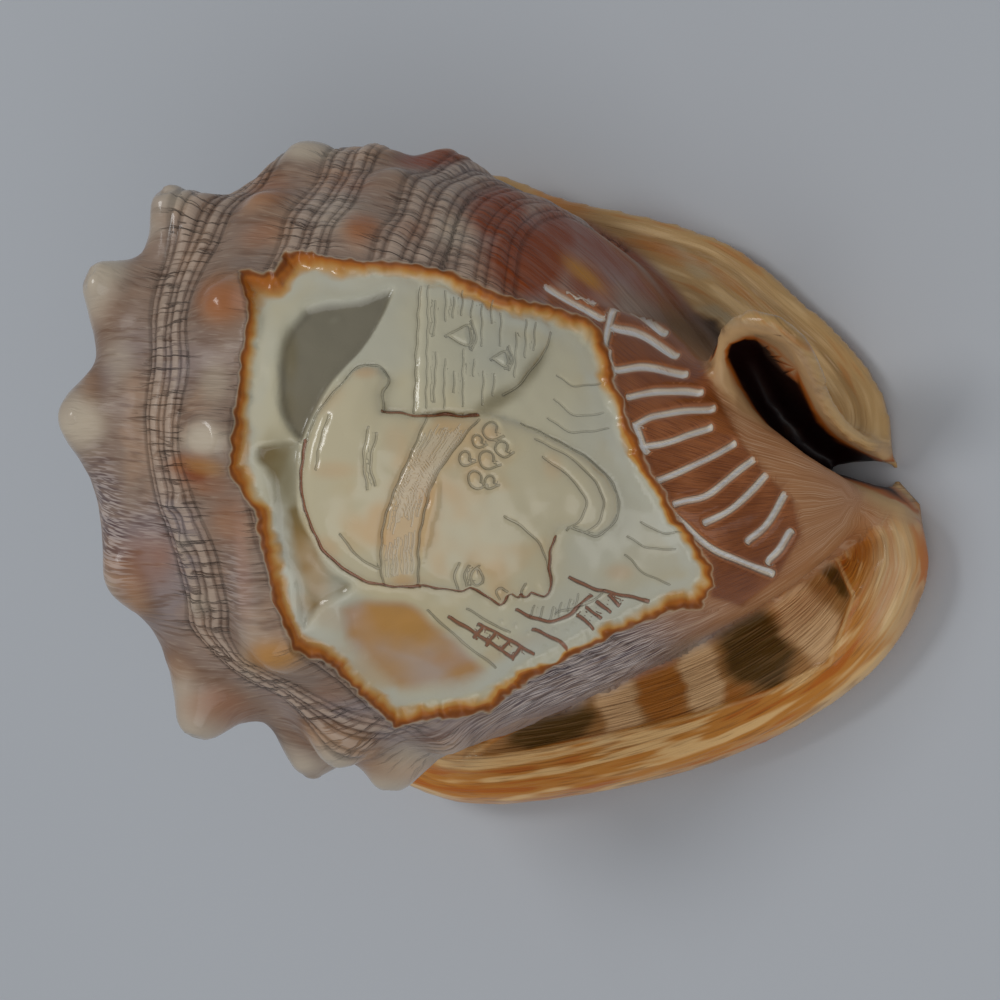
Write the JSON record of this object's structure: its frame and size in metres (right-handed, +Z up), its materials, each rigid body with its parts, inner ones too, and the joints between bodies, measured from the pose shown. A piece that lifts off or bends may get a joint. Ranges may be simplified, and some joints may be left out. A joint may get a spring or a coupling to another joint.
{
  "type": "carved helmet shell",
  "caption": "Large knobbed sea shell lying on its aperture, with a thick rolled lip, a recurved canal and a low-relief cameo panel carved into the back.",
  "frame": {"origin": "on the ground under the middle of the box that holds the shell", "axes": "+Z up with the aperture down, +X from the spire to the canal, +Y to the side away from the outer lip"},
  "size_m": [0.1464, 0.1192, 0.0926],
  "materials": {
    "carved_shell": "natural sea shell, polished where it is carved"
  },
  "bodies": {
    "root": {"shell": "carved_shell"}
  },
  "joints": []
}
